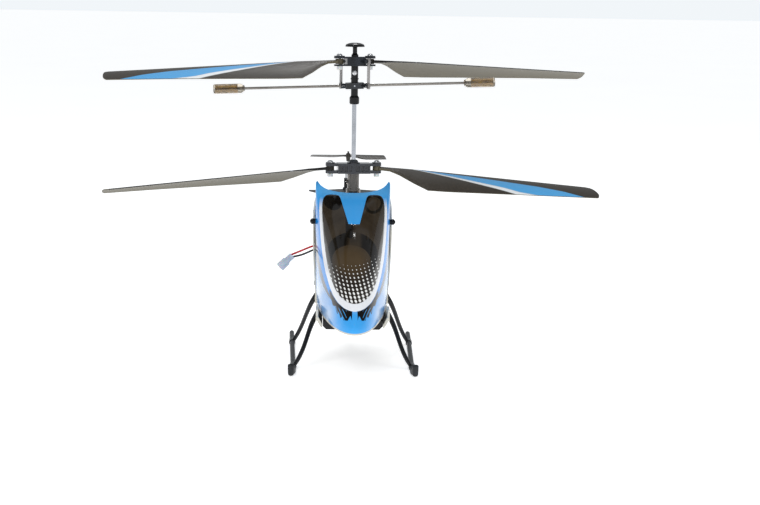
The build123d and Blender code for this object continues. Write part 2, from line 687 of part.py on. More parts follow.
def skid_runner(side):
    """Round runner with an upturned toe, flattened where it rests."""
    straight, upturn = runner_path()
    rear = extrude(Plane(origin=straight @ 1, z_dir=-(straight % 1)) * Circle(RUNNER_R), amount=straight.length)
    toe = sweep(Plane(origin=upturn @ 0, z_dir=upturn % 0) * Circle(RUNNER_R), path=upturn)
    ball = Pos(*runner_point(RUNNER_REAR[1])) * Sphere(RUNNER_R)
    runner = floor_flat(rear + toe + ball)
    return runner if side > 0 else mirror(runner, Plane.YZ)


def toe_cap(side):
    """Soft sleeve on the runner's toe, closed by a round button."""
    straight, upturn = runner_path()
    direction = upturn % 1
    start = (upturn @ 1) - direction * 3.2
    plane = Plane(origin=start, z_dir=direction)
    sleeve = extrude(plane * Circle(3.2), amount=6.4)
    sleeve = fillet(sleeve.edges().filter_by(GeomType.CIRCLE), 0.8)
    button = Plane(origin=start + direction * 6.2, z_dir=direction) * Pos(0, 0, 0.2) * Sphere(2.2)
    cap = floor_flat(sleeve + button) - skid_runner(1)
    return cap if side > 0 else mirror(cap, Plane.YZ)


def strut(top, knee, foot_y, root_x, side):
    """Tapered oval leg that hooks outwards into a sleeve round the runner."""
    foot = Vector(*runner_point(foot_y))
    spine = Spline(top, knee, (foot.X - 4.4, foot_y + 0.8, 8.0), (foot.X - 1.2, foot_y, RUNNER_Z + 0.8))
    sections = []
    for along, long_r, short_r in ((0.0, 4.4, 2.4), (0.3, 3.0, 2.2), (0.65, 2.4, 2.0), (0.9, 2.2, 1.9), (1.0, 2.0, 1.7)):
        plane = Plane(origin=spine @ along, x_dir=(0, 1, 0), z_dir=spine % along)
        sections.append(plane * Ellipse(long_r, short_r))
    leg = loft(sections) & block((root_x, 90), (-130, 90), (0, 90))
    axis = (Vector(*runner_point(foot_y + 5)) - Vector(*runner_point(foot_y - 5))).normalized()
    collar_start = foot - axis * 5.0
    collar = extrude(Plane(origin=collar_start, z_dir=axis) * Circle(3.0), amount=10.0)
    bore = extrude(Plane(origin=collar_start - axis * 5, z_dir=axis) * Circle(RUNNER_R), amount=20.0)
    whole = floor_flat(leg + collar - bore)
    return whole if side > 0 else mirror(whole, Plane.YZ)


# ---------------------------------------------------------------- tail
def tail_boom():
    boom = rod_between((0, 14, BOOM_Z), (0, 272, BOOM_Z), BOOM_R)
    return boom - rod_between((0, 10, BOOM_Z), (0, 276, BOOM_Z), BOOM_R - 0.8)


def tail_mount():
    """Clamp on the boom's end, motor post above it and a small fin below."""
    clamp = rod_between((0, 258, BOOM_Z), (0, TAIL_Y, BOOM_Z), 5.2)
    post = Pos(0, TAIL_Y, 0) * rod(4.4, 95, 131)
    fin_points = [(258, 97), (252, 84), (262, 62), (280, 58), (TAIL_END_Y, 66), (288, 97)]
    fin = make_face(Polyline(*[(0, y, z) for y, z in fin_points], close=True))
    fin = Pos(-0.8, 0, 0) * extrude(fin, amount=1.6, dir=(1, 0, 0))
    mount = clamp + post + fin
    mount = mount - rod_between((0, 250, BOOM_Z), (0, 272, BOOM_Z), BOOM_R)
    return mount - Pos(0, TAIL_Y, 0) * rod(TAIL_MOTOR_R, 126, 140)


def tail_motor():
    can = rod(TAIL_MOTOR_R, 126, 147.4) + rod(1.6, 147.4, 148.4)
    return Pos(0, TAIL_Y, 0) * (can - rod(0.5 + RUN_GAP, 140, 150))


def tail_propeller():
    """Two-bladed propeller that lies flat, with a tall tapered hub."""
    sections = [
        (1.5, 2.0, -2.0, 1.8, 1.4, 0.0, 22.0),
        (6.0, 2.4, -2.4, 1.5, 1.0, 0.0, 20.0),
        (14.0, 2.9, -8.6, 1.2, 0.6, 0.4, 16.0),
        (20.0, 3.0, -11.0, 1.1, 0.5, 0.6, 14.5),
        (34.0, 3.0, -11.0, 1.0, 0.5, 0.6, 13.0),
        (TAIL_PROP_R + 1, 3.0, -10.6, 0.9, 0.5, 0.5, 12.0),
    ]
    wing = loft([blade_section(*section) for section in sections], ruled=True)
    tip = make_face(Polyline((TAIL_PROP_R - 4, 4), (TAIL_PROP_R, -14), (60, -14), (60, 4), close=True))
    wing = wing - extrude(Pos(0, 0, -20) * tip, amount=40)
    hub = turned([(0, -6), (1.9, -6), (2.7, -1), (2.4, 2.4), (1.0, 3.2), (1.0, 4.9), (0, 4.9)])
    shaft = rod(0.5, -14, -5)
    return Pos(0, TAIL_Y, TAIL_PROP_Z) * (hub + shaft + wing + Rot(0, 0, 180) * wing)


def tail_fins():
    """Swept stabiliser with pointed tips, slipped over the motor post."""
    right = [(0, 252), (8, 250), (36, 260), (42.7, 273), (26, 275), (8, 284), (0, 286)]
    left = [(-x, y) for x, y in right[::-1][1:-1]]
    plate = slab(make_face(Polyline(*(right + left), close=True)), 116.8, 118.4)
    ring = Pos(0, TAIL_Y, 0) * rod(5.6, 114.5, 120.5)
    return plate + ring - Pos(0, TAIL_Y, 0) * rod(4.4, 100, 130)


# ---------------------------------------------------------------- battery lead
def corner_radii(route):
    """Radius of each bend: 0.45 of the shorter run over the tangent of half the turn."""
    radii = []
    for before, at, after in zip(route, route[1:], route[2:]):
        first = Vector(*at) - Vector(*before)
        second = Vector(*after) - Vector(*at)
        half_turn = radians(first.get_angle(second)) / 2
        radii.append(0.45 * min(first.length, second.length) / tan(half_turn))
    return radii


def wire(name, route):
    radii = corner_radii(route)
    path = FilletPolyline(*route, radius=radii)
    solid = sweep(Plane(origin=path @ 0, z_dir=path % 0) * Circle(WIRE_R), path=path)
    print(name, "length", round(path.length, 2), "radii", [round(radius, 1) for radius in radii],
          "volume", round(solid.volume, 2), "expected", round(pi * WIRE_R ** 2 * path.length, 2))
    return solid


def lead_plug():
    """Two-way plug: wide latched mouth, narrower wire end with two entries."""
    axis = Vector(*PLUG_END) - Vector(*PLUG_START)
    plane = Plane(origin=PLUG_START, x_dir=(-axis.Z, 0, axis.X), z_dir=axis)
    length = axis.length
    neck = Pos(0, 0, length * 0.25) * Box(5.8, 4.2, length * 0.5)
    mouth = Pos(0, 0, length * 0.72) * Box(8.0, 4.8, length * 0.56)
    latch = Pos(0, 2.7, length * 0.55) * Box(3.0, 1.2, length * 0.5)
    cavity = Pos(0, 0, length) * Box(5.6, 2.6, 8.0)
    plug = plane * (neck + mouth + latch - cavity)
    for route in (RED_ROUTE, BLACK_ROUTE):
        last, before = Vector(*route[-1]), Vector(*route[-2])
        run = (last - before).normalized()
        plug = plug - rod_between(tuple(last - run * 8), tuple(last), WIRE_R)
    return plug


# ---------------------------------------------------------------- write the parts
def write_heads():
    place_node("top_cap", top_cap())
    place_node("head_column", head_column())
    place_node("head_pins", head_pins())
    place_node("column_screw", column_screw())
    place_node("head_collar", head_collar())
    place_node("inner_shaft", inner_shaft())
    place_node("upper_yoke", upper_yoke())
    upper_bolt = blade_bolt(UPPER_BOLT_R, UPPER_YOKE_LOW, UPPER_YOKE_HIGH + 0.8)
    place_node("upper_blade_bolts", fasteners(feather_place, upper_bolt))
    place_node("upper_blade_nuts", fasteners(feather_place, blade_nut(UPPER_BOLT_R, UPPER_YOKE_LOW)))
    left, right = upper_blades()
    place_node("upper_blade_left", left)
    place_node("upper_blade_right", right)
    place_node("link_front", link_at(1))
    place_node("link_rear", link_at(-1))
    place_node("flybar_hub", flybar_hub())
    place_node("flybar_rods", flybar_group(flybar_rod()))
    place_node("flybar_weight_shells", flybar_group(weight_shell()))
    place_node("flybar_weight_slugs", flybar_group(weight_slug()))
    place_node("outer_shaft", outer_shaft())
    place_node("shaft_bearing_cap", shaft_bearing_cap())
    place_node("lower_yoke", lower_yoke())
    lower_bolt = blade_bolt(LOWER_BOLT_R, LOWER_YOKE_LOW, LOWER_YOKE_HIGH + 0.8)
    place_node("lower_blade_bolts", fasteners(lower_place, lower_bolt))
    place_node("lower_blade_nuts", fasteners(lower_place, blade_nut(LOWER_BOLT_R, LOWER_YOKE_LOW)))
    left, right = lower_blades()
    place_node("lower_blade_left", left)
    place_node("lower_blade_right", right)
    place_node("lower_hub_sleeve", lower_hub_sleeve())
    place_node("hub_set_screw", hub_set_screw())


def write_drive():
    place_node("inner_shaft_gear", main_gear(SHAFT_R, INNER_GEAR_Z))
    place_node("outer_shaft_gear", main_gear(OUTER_SHAFT_R, OUTER_GEAR_Z))
    place_node("pinion_left", pinion(-1, INNER_GEAR_Z))
    place_node("pinion_right", pinion(1, OUTER_GEAR_Z))
    place_node("main_motors", group([main_motor(-1), main_motor(1)]))
    place_node("shaft_bearings", shaft_bearings())
    place_node("battery_pack", battery_pack())
    place_node("control_board", control_board())
    place_node("power_switch", power_switch())
    place_node("switch_knob", switch_knob())
    place_node("red_lead", wire("red_lead", RED_ROUTE))
    place_node("black_lead", wire("black_lead", BLACK_ROUTE))
    place_node("lead_plug", lead_plug())


def write_body():
    shell, window = canopy_and_window()
    place_node("canopy", shell)
    place_node("windscreen", window)
    place_node("canopy_grommets", group([grommet(-1), grommet(1)]))
    place_node("main_frame", main_frame())
    place_node("left_body_cover", body_cover(-1))
    place_node("right_body_cover", body_cover(1))
    place_node("cover_screws", cover_screws())
    place_node("belly_tray", belly_tray())


def write_gear_and_tail():
    front_top, front_knee, front_y = (31.6, -46.0, 45.6), (41.3, -61.5, 25.0), -73.0
    rear_top, rear_knee, rear_y = (32.6, 18.5, 50.4), (43.6, 24.0, 27.0), 29.0
    for side, name in ((-1, "left"), (1, "right")):
        place_node(f"{name}_front_strut", strut(front_top, front_knee, front_y, FRONT_LUG_X, side))
        place_node(f"{name}_rear_strut", strut(rear_top, rear_knee, rear_y, REAR_LUG_X, side))
        place_node(f"{name}_skid_runner", skid_runner(side))
    place_node("runner_toe_caps", group([toe_cap(-1), toe_cap(1)]))
    place_node("tail_boom", tail_boom())
    place_node("tail_mount", tail_mount())
    place_node("tail_motor", tail_motor())
    place_node("tail_propeller", tail_propeller())
    place_node("tail_fins", tail_fins())


os.makedirs("parts", exist_ok=True)
write_heads()
write_drive()
write_body()
write_gear_and_tail()
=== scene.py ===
import math

import bmesh
import bpy
from mathutils import Matrix, Vector


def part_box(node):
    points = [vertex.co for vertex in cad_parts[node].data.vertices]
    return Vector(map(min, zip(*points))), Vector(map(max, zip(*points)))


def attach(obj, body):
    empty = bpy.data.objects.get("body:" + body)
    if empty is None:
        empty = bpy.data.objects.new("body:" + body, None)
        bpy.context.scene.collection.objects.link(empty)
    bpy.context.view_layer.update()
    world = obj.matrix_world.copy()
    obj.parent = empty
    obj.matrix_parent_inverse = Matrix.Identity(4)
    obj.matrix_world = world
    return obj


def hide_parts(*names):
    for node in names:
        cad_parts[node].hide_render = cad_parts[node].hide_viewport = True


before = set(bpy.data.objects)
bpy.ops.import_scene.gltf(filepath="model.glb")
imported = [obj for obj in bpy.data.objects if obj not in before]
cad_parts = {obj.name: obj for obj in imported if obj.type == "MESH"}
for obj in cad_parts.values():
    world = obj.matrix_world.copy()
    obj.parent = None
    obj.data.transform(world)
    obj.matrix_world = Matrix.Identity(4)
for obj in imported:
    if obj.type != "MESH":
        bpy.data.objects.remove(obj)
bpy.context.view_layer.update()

# Looks for a coaxial toy helicopter. Blender works in the row frame's metres: +Z up, nose towards -Y.
# Shapes and prints are written in millimetres from the mast's foot, as in the CAD source.

# ---------------------------------------------------------------- driving places
MM = 0.001
shaft_low, shaft_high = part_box("inner_shaft")
MAST_Y = ((shaft_low + shaft_high) / 2).y
ROTOR_R = 0.231
LOWER_AZIMUTH = 6
UPPER_AZIMUTH = 14


def from_mast(x, y, z):
    """A point given in millimetres from the mast's foot, in the row frame's metres."""
    return Vector((x * MM, y * MM + MAST_Y, z * MM))


# ---------------------------------------------------------------- camera
CAMERA_DISTANCE = 1.5
CAMERA_HEIGHT = 0.336
CAMERA_TURN = math.radians(1.2)
FRAME_TURN = math.radians(0.986)
PITCH_DOWN = math.radians(9.17)
ROLL = math.radians(0.92)
LENS = 77.2
SENSOR_WIDTH = 36


def make_camera():
    data = bpy.data.cameras.new("camera")
    data.lens = LENS
    data.sensor_width = SENSOR_WIDTH
    camera = bpy.data.objects.new("camera", data)
    bpy.context.scene.collection.objects.link(camera)
    x = -CAMERA_DISTANCE * math.sin(CAMERA_TURN)
    y = MAST_Y - CAMERA_DISTANCE * math.cos(CAMERA_TURN)
    turn = Matrix.Rotation(-CAMERA_TURN - FRAME_TURN, 4, "Z")
    tilt = Matrix.Rotation(math.pi / 2 - PITCH_DOWN, 4, "X")
    roll = Matrix.Rotation(ROLL, 4, "Z")
    camera.matrix_world = Matrix.Translation((x, y, CAMERA_HEIGHT)) @ turn @ tilt @ roll
    bpy.context.scene.camera = camera


make_camera()


# ---------------------------------------------------------------- battery leads
WIRE_DIAMETER = 0.0018
WIRE_STEPS = 12
WIRE_ROUNDNESS = 5
RED_ROUTE = [
    (-20.5, 15.3, 98.6),
    (-28.0, 15.0, 98.0),
    (-35.5, 14.0, 97.6),
    (-42.5, 11.5, 95.2),
    (-49.8, 9.2, 92.3),
    (-56.9, 6.0, 89.9),
]
BLACK_ROUTE = [
    (-20.5, 13.3, 94.1),
    (-28.0, 13.0, 94.6),
    (-35.5, 12.2, 94.2),
    (-42.6, 10.4, 91.0),
    (-49.3, 8.8, 88.6),
    (-55.7, 6.0, 87.9),
]


def lead(name, route, node):
    """A soft insulated wire on one smooth spline, from the frame to the plug.

    The bevel is 1 m and each point's radius scales it down to the wire's, so the bounds stay true.
    """
    data = bpy.data.curves.new(name, "CURVE")
    data.dimensions = "3D"
    spline = data.splines.new("NURBS")
    spline.points.add(len(route) - 1)
    for point, place in zip(spline.points, route):
        point.co = (*from_mast(*place), 1)
        point.radius = WIRE_DIAMETER / 2
    spline.order_u = 3
    spline.use_endpoint_u = True
    spline.resolution_u = WIRE_STEPS
    data.bevel_depth = 1.0
    data.bevel_resolution = WIRE_ROUNDNESS
    data.use_fill_caps = True
    wire = bpy.data.objects.new(name, data)
    bpy.context.scene.collection.objects.link(wire)
    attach(wire, "airframe")
    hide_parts(node)
    return wire


red_wire = lead("red_wire_lead", RED_ROUTE, "red_lead")
black_wire = lead("black_wire_lead", BLACK_ROUTE, "black_lead")


# ---------------------------------------------------------------- shader helpers
class Value:
    """A shader socket that arithmetic can be written with."""

    def __init__(self, tree, socket):
        self.tree = tree
        self.socket = socket

    def math(self, operation, *others):
        node = self.tree.nodes.new("ShaderNodeMath")
        node.operation = operation
        for place, value in enumerate((self,) + others):
            feed(self.tree, node.inputs[place], value)
        return Value(self.tree, node.outputs[0])

    def __add__(self, other):
        return self.math("ADD", other)

    def __sub__(self, other):
        return self.math("SUBTRACT", other)

    def __mul__(self, other):
        return self.math("MULTIPLY", other)

    def __truediv__(self, other):
        return self.math("DIVIDE", other)

    def __rsub__(self, other):
        return self * -1 + other

    __radd__ = __add__
    __rmul__ = __mul__

    def square(self):
        return self * self

    def root(self):
        return self.math("SQRT")

    def absolute(self):
        return self.math("ABSOLUTE")

    def most(self, other):
        return self.math("MAXIMUM", other)

    def cell(self):
        """Place within its cell, from -0.5 to 0.5."""
        return self.math("FRACT") - 0.5

    def above(self, edge, soft):
        """0 below the edge, 1 above it, over a soft width."""
        return ((self - edge) / soft + 0.5).most(0.0).math("MINIMUM", 1.0)

    def below(self, edge, soft):
        """1 below the edge, 0 above it."""
        return 1.0 - self.above(edge, soft)

    def curve(self, points, low, high):
        """Straight-line function through the points; the input runs from low to high."""
        node = self.tree.nodes.new("ShaderNodeFloatCurve")
        line = node.mapping.curves[0]
        top = max(value for place, value in points)
        scaled = [((place - low) / (high - low), value / top) for place, value in points]
        while len(line.points) < len(scaled):
            line.points.new(0.5, 0.5)
        for point, place in zip(line.points, scaled):
            point.location = place
            point.handle_type = "VECTOR"
        node.mapping.update()
        feed(self.tree, node.inputs["Value"], (self - low) / (high - low))
        return Value(self.tree, node.outputs[0]) * top


def feed(tree, target, value):
    """Link a Value to a socket, or set a plain value on it."""
    if isinstance(value, Value):
        tree.links.new(value.socket, target)
    else:
        target.default_value = value


def hexed(code):
    """Linear colour of a screen hex code."""
    parts = [int(code[i:i + 2], 16) / 255 for i in (0, 2, 4)]
    return tuple(((p + 0.055) / 1.055) ** 2.4 if p > 0.04045 else p / 12.92 for p in parts) + (1,)


NOISE_ROUGHNESS = 0.55


class Finish:
    """One material: a principled shader with its colour, gloss and bump built from nodes."""

    def __init__(self, name):
        self.material = bpy.data.materials.new(name)
        self.material.use_nodes = True
        self.tree = self.material.node_tree
        self.shader = self.tree.nodes["Principled BSDF"]
        self.place = self.tree.nodes.new("ShaderNodeTexCoord")
        self.spot = self.place.outputs["Object"]

    def axes(self, socket=None):
        """The three parts of a vector socket, by default the place in metres."""
        node = self.tree.nodes.new("ShaderNodeSeparateXYZ")
        self.tree.links.new(socket or self.spot, node.inputs[0])
        return [Value(self.tree, node.outputs[i]) for i in range(3)]

    def mast_axes(self):
        """Millimetres from the mast's foot."""
        x, y, z = self.axes()
        return x * 1000.0, (y - MAST_Y) * 1000.0, z * 1000.0

    def noise(self, scale, detail=3.0, stretch=(1, 1, 1)):
        """Noise from 0 to 1, its features per metre times the stretch."""
        shift = self.tree.nodes.new("ShaderNodeVectorMath")
        shift.operation = "MULTIPLY"
        shift.inputs[1].default_value = stretch
        self.tree.links.new(self.spot, shift.inputs[0])
        node = self.tree.nodes.new("ShaderNodeTexNoise")
        node.inputs["Scale"].default_value = scale
        node.inputs["Detail"].default_value = detail
        node.inputs["Roughness"].default_value = NOISE_ROUGHNESS
        self.tree.links.new(shift.outputs[0], node.inputs["Vector"])
        return Value(self.tree, node.outputs["Fac"])

    def mix(self, amount, first, second):
        """Colour going from first to second as the amount goes from 0 to 1."""
        node = self.tree.nodes.new("ShaderNodeMix")
        node.data_type = "RGBA"
        factor, colour_a, colour_b = (node.inputs[i] for i in (0, 6, 7))
        feed(self.tree, factor, amount)
        feed(self.tree, colour_a, first)
        feed(self.tree, colour_b, second)
        return Value(self.tree, node.outputs[2])

    def set(self, **values):
        """Inputs of the principled shader, by name with underscores for spaces."""
        for name, value in values.items():
            feed(self.tree, self.shader.inputs[name.replace("_", " ")], value)
        return self

    def bump(self, height, strength, distance=0.0004):
        node = self.tree.nodes.new("ShaderNodeBump")
        node.inputs["Strength"].default_value = strength
        node.inputs["Distance"].default_value = distance
        feed(self.tree, node.inputs["Height"], height)
        self.tree.links.new(node.outputs[0], self.shader.inputs["Normal"])
        return self

    def dress(self, *names):
        """Give the material to CAD nodes."""
        for name in names:
            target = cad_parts[name]
            target.data.materials.clear()
            target.data.materials.append(self.material)
        return self


def moulded(name, dark, light, rough, grain=900.0, bump=0.08, mottle=45.0, **extra):
    """Moulded plastic, rubber or turned metal: mottled colour, uneven gloss and fine texture."""
    finish = Finish(name)
    cloud = finish.noise(mottle, 4.0)
    fine = finish.noise(grain, 2.0)
    tone = cloud.above(0.5, 0.5)
    finish.set(Base_Color=finish.mix(tone, hexed(dark), hexed(light)))
    finish.set(Roughness=rough + (cloud - 0.5) * 0.22 + (fine - 0.5) * 0.1, **extra)
    return finish.bump(fine, bump)


# ---------------------------------------------------------------- plain finishes
moulded("gloss_black_plastic", "050506", "0c0c0f", 0.25, Specular_IOR_Level=0.35).dress(
    "head_column", "head_collar", "hub_set_screw", "power_switch", "top_cap", "tail_boom")
moulded("strut_black_plastic", "08090b", "10131a", 0.26, grain=1400.0, Specular_IOR_Level=0.4).dress(
    "left_front_strut", "left_rear_strut", "right_front_strut", "right_rear_strut")
moulded("tray_black_plastic", "0e0e0f", "1a1a1b", 0.4, grain=1200.0, bump=0.2, Specular_IOR_Level=0.35).dress(
    "belly_tray", "main_frame", "tail_mount")
moulded("runner_grey_plastic", "26272a", "3a3c3f", 0.45, grain=1500.0, bump=0.2,
        Specular_IOR_Level=0.35).dress("left_skid_runner", "right_skid_runner", "tail_fins")
toe_rubber = moulded("toe_rubber", "1c1d20", "2d2f32", 0.5, grain=1800.0, bump=0.25, Specular_IOR_Level=0.35)
moulded("grommet_rubber", "060607", "101011", 0.42, grain=1800.0, bump=0.2, Specular_IOR_Level=0.3).dress(
    "canopy_grommets")
moulded("cream_plastic", "d9d5c8", "e9e6db", 0.33, grain=1100.0, bump=0.05, Coat_Weight=0.2).dress(
    "left_body_cover", "right_body_cover")
moulded("screw_metal", "b4b4b6", "dcdcde", 0.2, grain=2600.0, Metallic=1.0).dress(
    "cover_screws", "column_screw", "upper_blade_bolts", "lower_blade_bolts")
moulded("white_nylon", "d3d6d6", "eceeed", 0.35, Subsurface_Weight=0.15, Subsurface_Scale=0.002).dress(
    "inner_shaft_gear", "outer_shaft_gear", "switch_knob", "upper_blade_nuts", "lower_blade_nuts")
moulded("plug_nylon", "b4c1cd", "d3dde6", 0.3, Subsurface_Weight=0.3, Subsurface_Scale=0.003).dress(
    "lead_plug")
moulded("motor_can", "9a9b9d", "c2c3c5", 0.3, grain=1600.0, Metallic=1.0).dress("main_motors", "tail_motor")
moulded("battery_wrap", "123b7c", "1d5bb0", 0.25, mottle=25.0, Coat_Weight=0.6).dress("battery_pack")
red_sleeve = moulded("red_wire_sleeve", "c2141c", "e0242c", 0.36, grain=2500.0)
black_sleeve = moulded("black_wire_sleeve", "101012", "1d1d20", 0.38, grain=2500.0)
for piece, finish, slot in ((red_wire, red_sleeve, "red_wire"), (black_wire, black_sleeve, "black_wire")):
    piece.data.materials.append(finish.material)


def drawn_steel():
    """Ground shaft steel with faint drawing lines along its length."""
    finish = Finish("drawn_steel")
    lines = finish.noise(2400.0, 2.0, (1, 1, 0.01))
    cloud = finish.noise(60.0, 3.0)
    finish.set(Base_Color=finish.mix(cloud, hexed("8d9198"), hexed("c9ccd2")), Metallic=1.0)
    finish.set(Roughness=0.2 + lines * 0.14)
    finish.bump(lines, 0.06)
    finish.dress("inner_shaft", "outer_shaft", "shaft_bearings", "head_pins")


def turned_brass():
    """Turned brass with fine tool rings across the axis and a little tarnish."""
    finish = Finish("turned_brass")
    rings = finish.noise(2200.0, 1.0, (1, 0.02, 0.02))
    tarnish = finish.noise(220.0, 4.0)
    colour = finish.mix(tarnish.above(0.52, 0.3), hexed("d2ad5c"), hexed("a3813f"))
    finish.set(Base_Color=colour, Metallic=1.0, Roughness=0.24 + rings * 0.16)
    finish.bump(rings, 0.15)
    finish.dress("flybar_weight_slugs", "pinion_left", "pinion_right")


def smoked(name, dark, light, through, rough, *nodes):
    """Tinted see-through moulding with flow marks."""
    finish = Finish(name)
    flow = finish.noise(130.0, 3.0, (1, 1, 0.35))
    fine = finish.noise(1500.0, 2.0)
    finish.set(Base_Color=finish.mix(flow.above(0.5, 0.4), hexed(dark), hexed(light)))
    finish.set(Roughness=rough + (fine - 0.5) * 0.1, Transmission_Weight=through, IOR=1.45, Coat_Weight=0.3)
    finish.bump(fine, 0.06)
    finish.dress(*nodes)


def circuit_board():
    """Green solder mask with copper tracks and a few dark chips drawn in."""
    finish = Finish("circuit_board")
    x, y, z = finish.mast_axes()
    tracks_x = (x * 0.55).cell().absolute().below(0.09, 0.04)
    tracks_y = (y * 0.5).cell().absolute().below(0.06, 0.04)
    tracks = tracks_x.most(tracks_y)
    chips_x = (x * 0.12).cell().absolute().below(0.27, 0.02)
    chips_y = (y * 0.1 + 0.3).cell().absolute().below(0.25, 0.02)
    chips = chips_x * chips_y
    green = finish.mix(tracks, hexed("0f4a2a"), hexed("1f7a48"))
    finish.set(Base_Color=finish.mix(chips, green, hexed("15161a")), Roughness=0.3 + chips * 0.25)
    finish.bump(chips, 0.6, 0.0006)
    finish.dress("control_board")


drawn_steel()
turned_brass()
circuit_board()
smoked("smoked_yoke_plastic", "0f1115", "2b303a", 0.3, 0.16, "upper_yoke", "lower_yoke", "flybar_hub",
       "shaft_bearing_cap")
smoked("smoked_sleeve_plastic", "5f5a55", "8a847d", 0.75, 0.1, "lower_hub_sleeve")
smoked("clear_link_plastic", "8f8c8b", "b8b4b2", 0.5, 0.2, "link_front", "link_rear")
smoked("clear_weight_plastic", "d6cbb8", "ece4d6", 0.95, 0.06, "flybar_weight_shells")
moulded("flybar_rod_finish", "77726d", "a09b95", 0.32, grain=1800.0, Metallic=0.6).dress("flybar_rods")


# ---------------------------------------------------------------- rotor blades
ROOT_CHORD = 43.0
LEADING_EDGE = 5.0
TAPER_START = 44.0
UPPER_BOLT = 14.5
LOWER_BOLT = 21.6
PRINT_START = 0.245
# shares of the chord behind the leading edge, by share of the rotor's radius
BLUE_EDGE = [
    (0, 0), (0.25, 0.02), (0.33, 0.08), (0.47, 0.18), (0.6, 0.33), (0.74, 0.5), (0.85, 0.72),
    (0.94, 1.0), (1.0, 1.2),
]
WHITE_EDGE = [
    (0, 0), (0.25, 0.05), (0.33, 0.24), (0.47, 0.57), (0.6, 0.86), (0.655, 1.0), (0.8, 1.2), (1.0, 1.2),
]
WHITE_WIDTH = [(0, 0), (0.2, 0.02), (0.6, 0.14), (1.0, 0.14)]


def blade_finish(name, node, azimuth, bolt, mirrored):
    """Printed blade: a pale-edged blue wedge on the top, bare plastic below."""
    finish = Finish(name)
    x, y, z = finish.mast_axes()
    angle = math.radians(azimuth)
    along = x * math.cos(angle) + y * math.sin(angle)
    across = y * math.cos(angle) - x * math.sin(angle)
    if mirrored:
        across = across * -1.0
    station = along - bolt
    beyond = (station - TAPER_START).most(0.0)
    chord = ROOT_CHORD - beyond * 0.05 - beyond.square() * 0.00023
    drop = (LEADING_EDGE - across) / chord
    share = along / (ROTOR_R / MM)
    blue_line = share.curve(BLUE_EDGE, 0.0, 1.0)
    white_line = share.curve(WHITE_EDGE, 0.0, 1.0)
    white_width = share.curve(WHITE_WIDTH, 0.0, 1.0)
    top = finish.axes(finish.place.outputs["Normal"])[2].above(0.05, 0.1)
    printed = share.above(PRINT_START, 0.01) * top
    white_start = white_line - white_width
    blue = drop.above(blue_line, 0.03) * drop.below(white_start, 0.03) * printed
    white = drop.above(white_start, 0.03) * drop.below(white_line, 0.03) * printed
    grain = finish.noise(420.0, 4.0, (1, 1, 0.2))
    fine = finish.noise(1900.0, 2.0)
    upper = finish.mix(grain.above(0.5, 0.5), hexed("2f2922"), hexed("3c352c"))
    under = finish.mix(grain.above(0.5, 0.5), hexed("4f4937"), hexed("625b49"))
    colour = finish.mix(top, under, upper)
    colour = finish.mix(drop.below(0.05, 0.04), colour, hexed("0f0e0d"))
    colour = finish.mix(blue, colour, hexed("4fa9e6"))
    colour = finish.mix(white, colour, hexed("eef1f3"))
    finish.set(Base_Color=colour, Roughness=0.44 + (grain - 0.5) * 0.2 - blue * 0.1, Specular_IOR_Level=0.3)
    finish.bump(fine + grain * 0.5, 0.12)
    finish.dress(node)


blade_finish("upper_right_print", "upper_blade_right", UPPER_AZIMUTH, UPPER_BOLT, True)
blade_finish("upper_left_print", "upper_blade_left", UPPER_AZIMUTH + 180, UPPER_BOLT, True)
blade_finish("lower_right_print", "lower_blade_right", LOWER_AZIMUTH, LOWER_BOLT, False)
blade_finish("lower_left_print", "lower_blade_left", LOWER_AZIMUTH + 180, LOWER_BOLT, False)
moulded("tail_blade_plastic", "2b2823", "3a3630", 0.4, grain=1700.0, bump=0.12,
        Specular_IOR_Level=0.35).dress("tail_propeller")


# ---------------------------------------------------------------- skid toes
# radius and height, up the outside and down into the hollow
TOE_PROFILE = [
    (0.0, 0.4), (1.3, 0.5), (2.1, 0.9), (2.55, 1.6), (2.75, 2.6), (2.85, 5.0), (2.9, 8.8), (2.85, 9.8),
    (2.6, 10.4), (2.2, 10.6), (1.8, 10.4), (1.6, 9.9), (1.5, 9.0), (1.4, 7.6), (0.9, 7.2), (0.0, 7.1),
]
TOE_INSET = 3.5
TOE_SIDES = 40


def toe_sleeves():
    """Round rubber sleeves with hollow tops on the upturned ends of the runners."""
    low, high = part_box("runner_toe_caps")
    mesh = bmesh.new()
    for side in (-1, 1):
        middle = Vector((side * (high.x - TOE_INSET * MM), (low.y + high.y) / 2, 0))
        rings = []
        for radius, height in TOE_PROFILE:
            turns = [2 * math.pi * i / TOE_SIDES for i in range(TOE_SIDES if radius else 1)]
            rings.append([mesh.verts.new(middle + Vector((
                radius * MM * math.cos(turn), radius * MM * math.sin(turn), height * MM))) for turn in turns])
        for lower, upper in zip(rings, rings[1:]):
            for i in range(TOE_SIDES):
                around = ((lower, i), (lower, i + 1), (upper, i + 1), (upper, i))
                corners = [verts[k % len(verts)] for verts, k in around]
                mesh.faces.new(list(dict.fromkeys(corners)))
    bmesh.ops.recalc_face_normals(mesh, faces=mesh.faces)
    data = bpy.data.meshes.new("toe_sleeves")
    mesh.to_mesh(data)
    mesh.free()
    data.polygons.foreach_set("use_smooth", [True] * len(data.polygons))
    data.materials.append(toe_rubber.material)
    sleeves = bpy.data.objects.new("toe_sleeves", data)
    bpy.context.scene.collection.objects.link(sleeves)
    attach(sleeves, "airframe")
    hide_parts("runner_toe_caps")


toe_sleeves()


